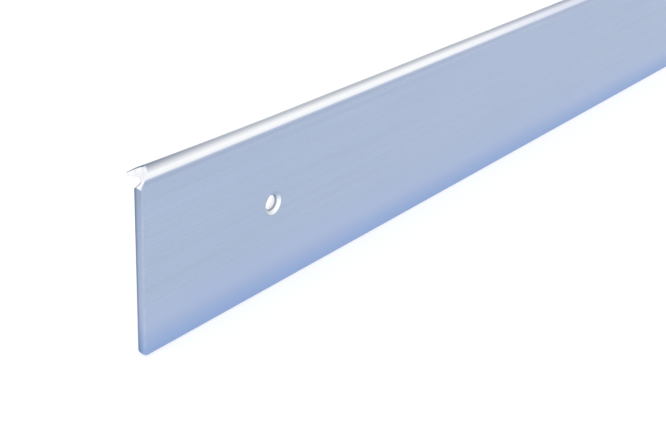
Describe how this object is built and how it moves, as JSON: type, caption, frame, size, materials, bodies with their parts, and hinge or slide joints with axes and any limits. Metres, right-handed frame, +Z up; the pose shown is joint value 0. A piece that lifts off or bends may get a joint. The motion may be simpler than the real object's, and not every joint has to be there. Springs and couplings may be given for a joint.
{
  "type": "threshold strip",
  "caption": "Flat metal edge strip with countersunk screw holes and a bright nose that carries a thin back lip.",
  "frame": {"origin": "on the axis of the middle screw hole, in the plane of the back face, at half the strip's height", "axes": "+X along the strip, +Y out of the back face towards the board it is screwed to, +Z up to the nose"},
  "size_m": [0.63, 0.0055, 0.041],
  "materials": {
    "satin_web": "matt blue-grey anodised, fine extrusion lines",
    "bright_nose": "bright anodised, smooth"
  },
  "bodies": {
    "root": {"carrier_web": "satin_web", "nose_neck": "bright_nose", "nose_lip": "bright_nose"}
  },
  "joints": []
}
